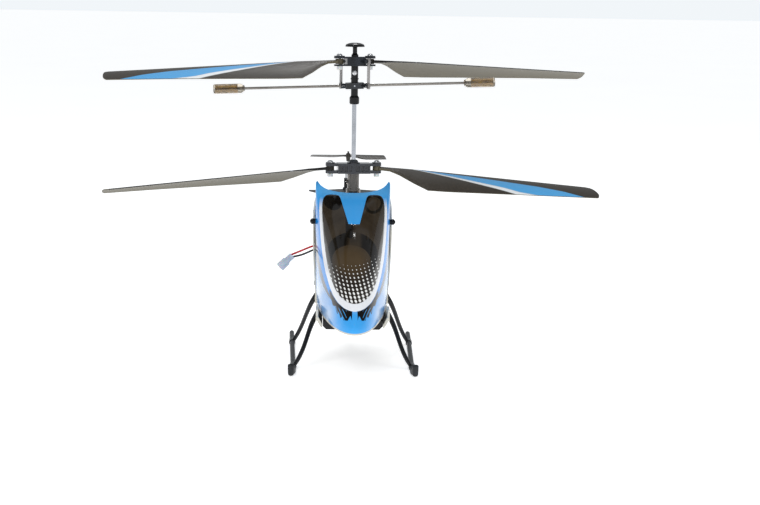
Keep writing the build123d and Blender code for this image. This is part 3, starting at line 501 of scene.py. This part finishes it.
# ---------------------------------------------------------------- canopy shape
# height, nose y, y of full width, half-width, and how blunt the nose is in plan
LEVELS = [
    (44.0, -138.5, 4.0, 32.6, 0.0), (50.0, -141.0, 4.0, 33.0, 0.0), (57.0, -139.0, 4.0, 33.4, 0.04),
    (66.0, -134.4, 4.0, 33.8, 0.08), (76.0, -127.4, 4.0, 34.1, 0.13), (87.0, -118.1, 4.0, 34.4, 0.2),
    (98.0, -106.9, 4.0, 34.6, 0.28), (108.0, -94.8, 4.0, 34.7, 0.37), (117.0, -82.3, 4.0, 34.8, 0.47),
    (125.5, -68.3, 4.1, 34.8, 0.58), (134.0, -51.4, 4.3, 34.8, 0.7), (142.5, -31.9, 4.8, 34.8, 0.8),
    (152.0, -9.5, 6.0, 34.7, 0.9), (160.0, 6.0, 9.5, 34.6, 0.9),
]
# share of the half-width by share of the way back from the nose
PLAN = [(0.0, 0.0), (0.08, 0.34), (0.22, 0.54), (0.42, 0.72), (0.68, 0.89), (1.0, 1.0)]
NOSE_Y = -141.0
REAR_Y = 8.0
BLOCK_REAR_Y = 30
NOSE_THICKENING = 1.8
WALL = 1.2
PANE_GAP = 0.15
NOTCH_R = 37.2
NOTCH_Y = 25.2
PEG_Z = 122.6
PEG_R = 2.4
# right half of the window's outline, x and height, from the tab's middle round to the foot
WINDOW = [
    (0.0, 129.0), (5.0, 129.0), (11.3, 145.6), (12.6, 148.0), (15.5, 149.2), (22.6, 149.0), (26.2, 147.4),
    (28.0, 144.0), (28.6, 137.0), (27.6, 121.0), (25.4, 104.0), (22.6, 91.0), (18.6, 81.0), (13.4, 74.6),
    (6.8, 71.2), (0.0, 70.2),
]
SHARP_CORNERS = {1, 2}
STRAIGHT_RUNS = 2
WINDOW_STEPS = 6
PRISM_REACH = (-180.0, 20.0)


def hermite(t, start, end, slope0, slope1):
    return ((2 * t ** 3 - 3 * t ** 2 + 1) * start + (t ** 3 - 2 * t ** 2 + t) * slope0
            + (3 * t ** 2 - 2 * t ** 3) * end + (t ** 3 - t ** 2) * slope1)


def smooth_through(knots, place):
    """Catmull-Rom value through (place, value) knots."""
    last = len(knots) - 1
    i = 0
    while i < last - 1 and place > knots[i + 1][0]:
        i += 1
    (x0, y0), (x1, y1) = knots[i], knots[i + 1]
    before = knots[max(i - 1, 0)]
    after = knots[min(i + 2, last)]
    span = x1 - x0
    slope0 = (y1 - before[1]) / (x1 - before[0]) * span
    slope1 = (after[1] - y0) / (after[0] - x0) * span
    return hermite((place - x0) / span, y0, y1, slope0, slope1)


def level_values(height):
    """Nose y, y of full width, half-width and bluntness at a height."""
    return [smooth_through([(level[0], level[k]) for level in LEVELS], height) for k in (1, 2, 3, 4)]


def plan_across(along):
    """Share of the half-width at a share of the way back from the nose."""
    knots = [(math.sqrt(place), value) for place, value in PLAN]
    return smooth_through(knots, math.sqrt(along))


ROWS = 76
SIDE_STEPS = 34
WALL_STEPS = 5


def ring(height, inset):
    """Closed plan outline of the canopy block at one height."""
    nose, full, half, blunt = level_values(height)
    nose = max(nose, NOSE_Y) + inset * NOSE_THICKENING
    half = half - inset
    side = []
    for step in range(1, SIDE_STEPS + 1):
        along = (step / SIDE_STEPS) ** 2
        across = plan_across(along)
        rounded = math.sqrt(1 - (1 - along) ** 2)
        side.append((half * (across + blunt * (rounded - across)), nose + along * (full - nose)))
    for step in range(1, WALL_STEPS + 1):
        side.append((half, full + (BLOCK_REAR_Y - full) * step / WALL_STEPS))
    points = [(-x, y) for x, y in side[::-1]] + [(0, nose)] + side
    return [Vector((x, y, height)) for x, y in points]


def solid_from_rings(name, rings, material):
    """Closed mesh through a stack of rings, capped at both ends."""
    mesh = bmesh.new()
    loops = [[mesh.verts.new(from_mast(*point)) for point in points] for points in rings]
    count = len(loops[0])
    for lower, upper in zip(loops, loops[1:]):
        for i in range(count):
            j = (i + 1) % count
            mesh.faces.new((lower[i], lower[j], upper[j], upper[i]))
    mesh.faces.new(loops[0][::-1])
    mesh.faces.new(loops[-1])
    bmesh.ops.recalc_face_normals(mesh, faces=mesh.faces)
    data = bpy.data.meshes.new(name)
    mesh.to_mesh(data)
    mesh.free()
    data.materials.append(material)
    piece = bpy.data.objects.new(name, data)
    bpy.context.scene.collection.objects.link(piece)
    return piece


def canopy_block(name, inset, reach, material):
    """Solid block of the canopy's form, made smaller by the inset and longer up and down by the reach."""
    bottom, top = LEVELS[0][0], LEVELS[-1][0]
    heights = [bottom + (top - bottom) * row / ROWS for row in range(ROWS + 1)]
    rings = [ring(height, inset) for height in heights]
    rings[0] = [Vector((p.x, p.y, p.z - reach)) for p in rings[0]]
    rings[-1] = [Vector((p.x, p.y, p.z + reach)) for p in rings[-1]]
    return solid_from_rings(name, rings, material)


def box_cutter(name, low, high, material):
    x0, y0, z0 = low
    x1, y1, z1 = high
    corners = [(x0, y0), (x1, y0), (x1, y1), (x0, y1)]
    return solid_from_rings(name, [[Vector((x, y, z)) for x, y in corners] for z in (z0, z1)], material)


def round_cutter(name, middle, radius, low, high, axis, material, sides):
    """Round bar along Z or X, from low to high."""
    rings = []
    for end in (low, high):
        points = []
        for i in range(sides):
            turn = 2 * math.pi * i / sides
            a, b = radius * math.cos(turn), radius * math.sin(turn)
            upright = (middle[0] + a, middle[1] + b, end)
            lying = (end, middle[1] + a, middle[2] + b)
            points.append(Vector(upright if axis == "Z" else lying))
        rings.append(points)
    return solid_from_rings(name, rings, material)


def window_prism(name, shrink, material):
    """Prism through the window opening: smooth sides, sharp tab corners."""
    half = []
    for i, (x, z) in enumerate(WINDOW[:-1]):
        following = WINDOW[i + 1]
        before = WINDOW[i - 1] if i > 0 and i not in SHARP_CORNERS else (x, z)
        if i + 2 >= len(WINDOW):
            after = (-WINDOW[-2][0], WINDOW[-2][1])
        else:
            after = following if i + 1 in SHARP_CORNERS else WINDOW[i + 2]
        steps = 1 if i < STRAIGHT_RUNS else WINDOW_STEPS
        for step in range(steps):
            half.append(tuple(
                hermite(step / steps, here, there, (there - last) / 2, (later - here) / 2)
                for last, here, there, later in zip(before, (x, z), following, after)))
    half.append(WINDOW[-1])
    outline = half + [(-x, z) for x, z in half[::-1][1:-1]]
    shrunk = []
    count = len(outline)
    for i, (x, z) in enumerate(outline):
        ahead, behind = outline[(i + 1) % count], outline[i - 1]
        run = Vector((ahead[0] - behind[0], ahead[1] - behind[1])).normalized()
        shrunk.append((x + run.y * shrink, z - run.x * shrink))
    rings = [[Vector((x, y, z)) for x, z in shrunk] for y in PRISM_REACH]
    return solid_from_rings(name, rings, material)


def cut(piece, cutter, operation):
    """Boolean with the result kept as the piece's own mesh."""
    change = piece.modifiers.new("cut", "BOOLEAN")
    change.solver = "EXACT"
    change.operation = operation
    change.object = cutter
    change.material_mode = "TRANSFER"
    graph = bpy.context.evaluated_depsgraph_get()
    mesh = bpy.data.meshes.new_from_object(piece.evaluated_get(graph))
    piece.modifiers.clear()
    piece.data = mesh


def copied(piece, name):
    twin = piece.copy()
    twin.data = piece.data.copy()
    twin.name = name
    bpy.context.scene.collection.objects.link(twin)
    return twin


# ---------------------------------------------------------------- canopy print, painted crown highlight and pane reflection
SKY = hexed("41a5ee")
DEEP = hexed("0a8de6")
LAVENDER = hexed("6ea6e2")
PALE = hexed("a9c3e4")
TAUPE = hexed("5a5550")
# light blue for the painted highlight on the crown
PAINTED_CROWN_SHEEN = hexed("8ccdf7")
INK = hexed("0e0c0c")
BAND_LOW = 60.0
BAND_HIGH = 152.0
# outer edge of the white band, by height
BAND_EDGE = [
    (60.0, 0.0), (64.2, 0.0), (64.6, 4.0), (65.6, 8.6), (68.2, 14.2), (72.0, 18.4), (78.0, 21.8),
    (86.5, 25.0), (95.0, 27.2), (104.3, 28.7), (114.0, 29.8), (123.3, 30.6), (135.0, 31.2), (145.0, 30.9),
    (152.0, 29.0),
]
# half-width of the dark line outside the band, by height
DARK_WIDTH = [(60, 2.4), (76, 2.4), (90, 1.9), (108, 1.2), (130, 0.4), (152, 0.0)]
# lower edge of the dark nose marks, by distance from the middle
FLAME_REACH = 40.0
FLAME_EDGE = [
    (0.0, 66.0), (2.0, 66.0), (2.5, 57.0), (3.6, 60.6), (4.8, 59.0), (6.0, 56.4), (9.4, 55.8),
    (10.4, 58.8), (12.0, 56.6), (13.6, 61.0), (14.8, 58.6), (16.6, 64.0), (18.6, 63.6), (20.4, 69.0),
    (24.0, 80.0), (40.0, 90.0),
]
# distance outside the band, and half-width
SCRATCHES = [(7.6, 0.35), (10.4, 0.3)]


def canopy_paint_and_sheen():
    """Sky-blue shell with pale swept sides, a white window band and dark angular nose marks."""
    finish = Finish("canopy_paint_and_sheen")
    x, y, z = finish.mast_axes()
    side = x.absolute()
    wander = (finish.noise(55.0, 2.0) - 0.5) * 3.0
    gap = side - z.curve(BAND_EDGE, BAND_LOW, BAND_HIGH)
    sweep = z + y * 0.3
    front = y.below(8.0, 4.0)
    # swept pale sides, sky blue above the shoulder and on the nose
    shoulder = (z + side * 0.5 + y * 0.1).above(143.0, 14.0)
    tab_field = side.below(14.5, 1.0) * z.above(120.0, 2.0)
    nose = z.below(66.0, 9.0) * side.below(19.0, 9.0) * y.below(-92.0, 26.0)
    stripes = ((sweep + wander) * 0.034 + 0.15).cell().absolute()
    pale_side = finish.mix(stripes.above(0.3, 0.22) * 0.85, LAVENDER, PALE)
    colour = finish.mix(shoulder.most(nose).most(tab_field), pale_side, SKY)
    # long deep-blue flank stripe and pale one over it
    flank = (z - (96.0 + y * 0.62)).absolute()
    outermost = side.above(31.5, 1.5)
    colour = finish.mix(flank.below(3.4, 1.0) * outermost * y.above(-88.0, 20.0), colour, DEEP)
    colour = finish.mix((flank - 5.6).absolute().below(0.8, 0.5) * outermost, colour, PALE)
    # thin broken scratch lines
    scratch = finish.noise(90.0, 3.0, (1, 1, 0.3))
    for place, wide in SCRATCHES:
        line = (gap + wander * 0.5 - place).absolute().below(wide, 0.3) * scratch.above(0.47, 0.05)
        colour = finish.mix(line * z.above(62.0, 6.0) * z.below(122.0, 10.0) * 0.7, colour, TAUPE)
    # dark and deep-blue lines that follow the band
    dark_width = z.curve(DARK_WIDTH, BAND_LOW, BAND_HIGH)
    dark_run = (gap + wander * 0.25 - 5.7).absolute().below(dark_width, 0.4)
    colour = finish.mix(dark_run * z.above(66.0, 3.0) * z.below(124.0, 6.0) * 0.85, colour, TAUPE)
    blue_run = gap.above(-3.0, 0.3) * gap.below(4.1, 0.4) * z.above(67.0, 2.0) * z.below(140.0, 12.0)
    colour = finish.mix(blue_run, colour, DEEP)
    # white band round the window
    white = gap.below(0.0, 0.3) * z.above(64.2, 0.3) * z.below(142.0, 9.0) * front
    tab = side.below(12.6, 0.4) * z.above(126.0, 1.0)
    colour = finish.mix(white * (1.0 - tab), colour, hexed("eef0f4"))
    # angular dark marks under the band
    flame = side.curve(FLAME_EDGE, 0.0, FLAME_REACH)
    marks = z.above(flame, 0.35) * gap.above(0.5, 0.3).most(z.below(64.0, 0.3)) * z.below(74.0, 2.0)
    tongue = (side * 0.32 - z * 0.2 + wander * 0.2).cell().absolute().below(0.085, 0.04) * z.below(64.5, 1.0)
    marks = marks * side.above(2.2, 0.3) * y.below(-70.0, 3.0) * (1.0 - tongue * side.above(7.0, 0.5))
    colour = finish.mix(marks, colour, INK)
    # painted highlight lightening the crown, and a thin pale rim
    colour = finish.mix(z.above(149.0, 7.0) * y.below(0.0, 20.0) * 0.4, colour, PAINTED_CROWN_SHEEN)
    colour = finish.mix(z.below(45.6, 0.3), colour, hexed("d6d2c6"))
    fine = finish.noise(1500.0, 2.0)
    wave = finish.noise(28.0, 2.0)
    worn = finish.noise(70.0, 4.0)
    finish.set(Base_Color=colour, Roughness=0.13 + (worn - 0.5) * 0.12, Specular_IOR_Level=0.2, IOR=1.36)
    finish.bump(wave + fine * 0.02, 0.25, 0.0005)
    return finish


DOT_PITCH_X = 3.55
DOT_PITCH_Z = 2.95


def window_print_and_painted_reflection():
    """Glossy smoked pane: brown field, black lobes, rows of pale dots growing downwards, and a painted
    reflection of the floor: a lighter brown dome ringed by dark arcs.
    """
    finish = Finish("window_print_and_painted_reflection")
    x, y, z = finish.mast_axes()
    side = x.absolute()

    def oval(across, height, wide, tall):
        return (((x - across) / wide).square() + ((z - height) / tall).square()).root()

    # painted reflection: dark arcs round a dome where the floor is reflected
    reflected_dome = oval(-2.5, 99.5, 17.0, 14.5)
    dark_reflection_arcs = oval(-1.5, 103.0, 22.5, 20.5).below(1.0, 0.03) * reflected_dome.above(1.0, 0.03) * z.above(92.0, 8.0)
    dark_reflection_arcs = dark_reflection_arcs * (1.0 - side.below(6.0, 3.0) * z.above(112.0, 4.0) * 0.7)
    lobes = oval(-19.0, 144.0, 8.5, 6.2).below(1.0, 0.06)
    ring_mark = oval(18.5, 142.8, 8.2, 6.4)
    lobes = lobes.most(ring_mark.below(1.12, 0.06) * ring_mark.above(0.8, 0.06))
    under_tab = side.below(7.5, 1.0) * z.above(118.5, 2.0) * (x + 2.0).below(1.0, 3.0)
    edges = (side - (z - 70.0) * 0.12).above(19.6, 1.4) * z.below(112.0, 8.0)
    # dark print marks joined with the painted dark reflection arcs
    ink_and_dark_reflection = dark_reflection_arcs.most(lobes).most(under_tab).most(edges)
    cloud = finish.noise(60.0, 3.0)
    brown = finish.mix(cloud.above(0.5, 0.5), hexed("2a221a"), hexed("3c3328"))
    # painted reflection: the floor seen as lighter brown in the middle of the dome
    floor_reflection_glow = oval(-2.5, 101.0, 15.0, 13.0)
    brown = finish.mix(floor_reflection_glow.below(0.9, 0.7) * 0.35, brown, hexed("66502f"))
    foot = (z + x * -0.12).below(93.0, 14.0) * 0.55
    colour = finish.mix((ink_and_dark_reflection * 0.93).most(foot), brown, hexed("0a0807"))
    # rows of dots: they follow a shallow bowl and grow towards the foot
    row = (z - x.square() * 0.0042 - x * 0.045) / DOT_PITCH_Z
    u = (x / DOT_PITCH_X + row.math("FLOOR") * 0.22).cell()
    v = row.cell()
    start = 101.0 + x * 0.17
    size = ((start - z) / 30.0).most(0.0).math("POWER", 0.62) * 0.35
    spot = ((u + v * 0.3).square() * 1.4 + (v * 0.8).square()).root()
    dots = spot.below(size, 0.1) * z.below(start, 0.5)
    colour = finish.mix(dots, colour, hexed("f2f2f0"))
    fine = finish.noise(1700.0, 2.0)
    finish.set(Base_Color=colour, Roughness=0.09 + (cloud - 0.5) * 0.06, Specular_IOR_Level=0.4, IOR=1.35)
    finish.bump(finish.noise(26.0, 2.0) + fine * 0.01, 0.12, 0.0005)
    return finish


CREASE = math.radians(32)


def make_canopy():
    """Smooth canopy shell and its pane, cut from the same surface."""
    shell_finish = canopy_paint_and_sheen()
    pane_finish = window_print_and_painted_reflection()
    bare = moulded("bare_shell_plastic", "cfccc2", "e2dfd6", 0.4, grain=1100.0)
    shell = canopy_block("canopy_shell", 0.0, 0.0, shell_finish.material)
    trims = [
        box_cutter("trim_rear", (-60, REAR_Y, 20), (60, 60, 200), bare.material),
        round_cutter("trim_notch", (0, NOTCH_Y, 0), NOTCH_R, 134.0, 200.0, "Z", bare.material, 160),
        canopy_block("trim_inside", WALL, 1.0, bare.material),
    ]
    for cutter in trims:
        cut(shell, cutter, "DIFFERENCE")
    pane = copied(shell, "windscreen_pane")
    prism = window_prism("trim_window", 0.0, bare.material)
    small_prism = window_prism("trim_pane", PANE_GAP, pane_finish.material)
    pegs = round_cutter("trim_pegs", (0, 0, PEG_Z), PEG_R, -60.0, 60.0, "X", bare.material, 48)
    cut(shell, prism, "DIFFERENCE")
    cut(shell, pegs, "DIFFERENCE")
    cut(pane, small_prism, "INTERSECT")
    for slot in range(len(pane.data.materials)):
        pane.data.materials[slot] = pane_finish.material
    for cutter in trims + [prism, small_prism, pegs]:
        bpy.data.objects.remove(cutter)
    for piece in (shell, pane):
        piece.data.polygons.foreach_set("use_smooth", [True] * len(piece.data.polygons))
        piece.data.set_sharp_from_angle(angle=CREASE)
        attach(piece, "airframe")
    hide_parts("canopy")
    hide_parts("windscreen")


make_canopy()


# ---------------------------------------------------------------- floor and light
FLOOR_HALF = 20.0
FLOOR_GLOW = 0.56


def make_floor():
    """Plain pale floor, far wider than the view."""
    mesh = bmesh.new()
    half = FLOOR_HALF
    corners = [(-half, -half), (half, -half), (half, half), (-half, half)]
    mesh.faces.new([mesh.verts.new((x, y, 0.0)) for x, y in corners])
    data = bpy.data.meshes.new("floor")
    mesh.to_mesh(data)
    mesh.free()
    floor = bpy.data.objects.new("floor", data)
    bpy.context.scene.collection.objects.link(floor)
    finish = moulded("floor_paper", "fafafa", "ffffff", 0.9, grain=300.0, bump=0.01, mottle=3.0)
    finish.set(Specular_IOR_Level=0.1, Emission_Color=(1, 1, 1, 1), Emission_Strength=FLOOR_GLOW)
    data.materials.append(finish.material)


def soft_box(name, place, target, size, power, mirrored=False):
    """Area light facing the target. Only a mirrored one shows as a glint in glossy surfaces."""
    data = bpy.data.lights.new(name, "AREA")
    data.shape = "RECTANGLE"
    data.size, data.size_y = size
    data.energy = power
    lamp = bpy.data.objects.new(name, data)
    bpy.context.scene.collection.objects.link(lamp)
    lamp.visible_glossy = mirrored
    away = Vector(place) - Vector(target)
    lamp.matrix_world = Matrix.Translation(place) @ away.to_track_quat("Z", "Y").to_matrix().to_4x4()


# the sky is brighter where the camera sees it than where it lights the object
LIT_SKY = 0.45
SEEN_SKY = 0.95


def make_light():
    world = bpy.data.worlds.new("studio")
    bpy.context.scene.world = world
    world.use_nodes = True
    background = world.node_tree.nodes["Background"]
    background.inputs["Color"].default_value = (0.93, 0.97, 1.0, 1)
    rays = world.node_tree.nodes.new("ShaderNodeLightPath")
    strength = Value(world.node_tree, rays.outputs["Is Camera Ray"]) * (SEEN_SKY - LIT_SKY) + LIT_SKY
    feed(world.node_tree, background.inputs["Strength"], strength)
    middle = (0.0, MAST_Y, 0.12)
    soft_box("key_light", (-0.9, -1.3, 1.5), middle, (0.8, 0.8), 9)
    soft_box("top_light", (0.1, 0.3, 1.7), middle, (1.4, 1.0), 6)
    soft_box("fill_light", (1.4, -0.9, 0.8), middle, (0.8, 0.8), 3)
    soft_box("crown_glint", (0.02, 1.0, 1.2), middle, (0.09, 0.07), 1.6, True)
    soft_box("pane_glint", (0.03, 0.33, 1.54), middle, (0.12, 0.03), 0.5, True)
    soft_box("nose_glint", (0.0, -1.6, 0.62), middle, (0.08, 0.08), 0.8, True)
    bpy.context.scene.view_settings.view_transform = "Standard"


make_floor()
make_light()
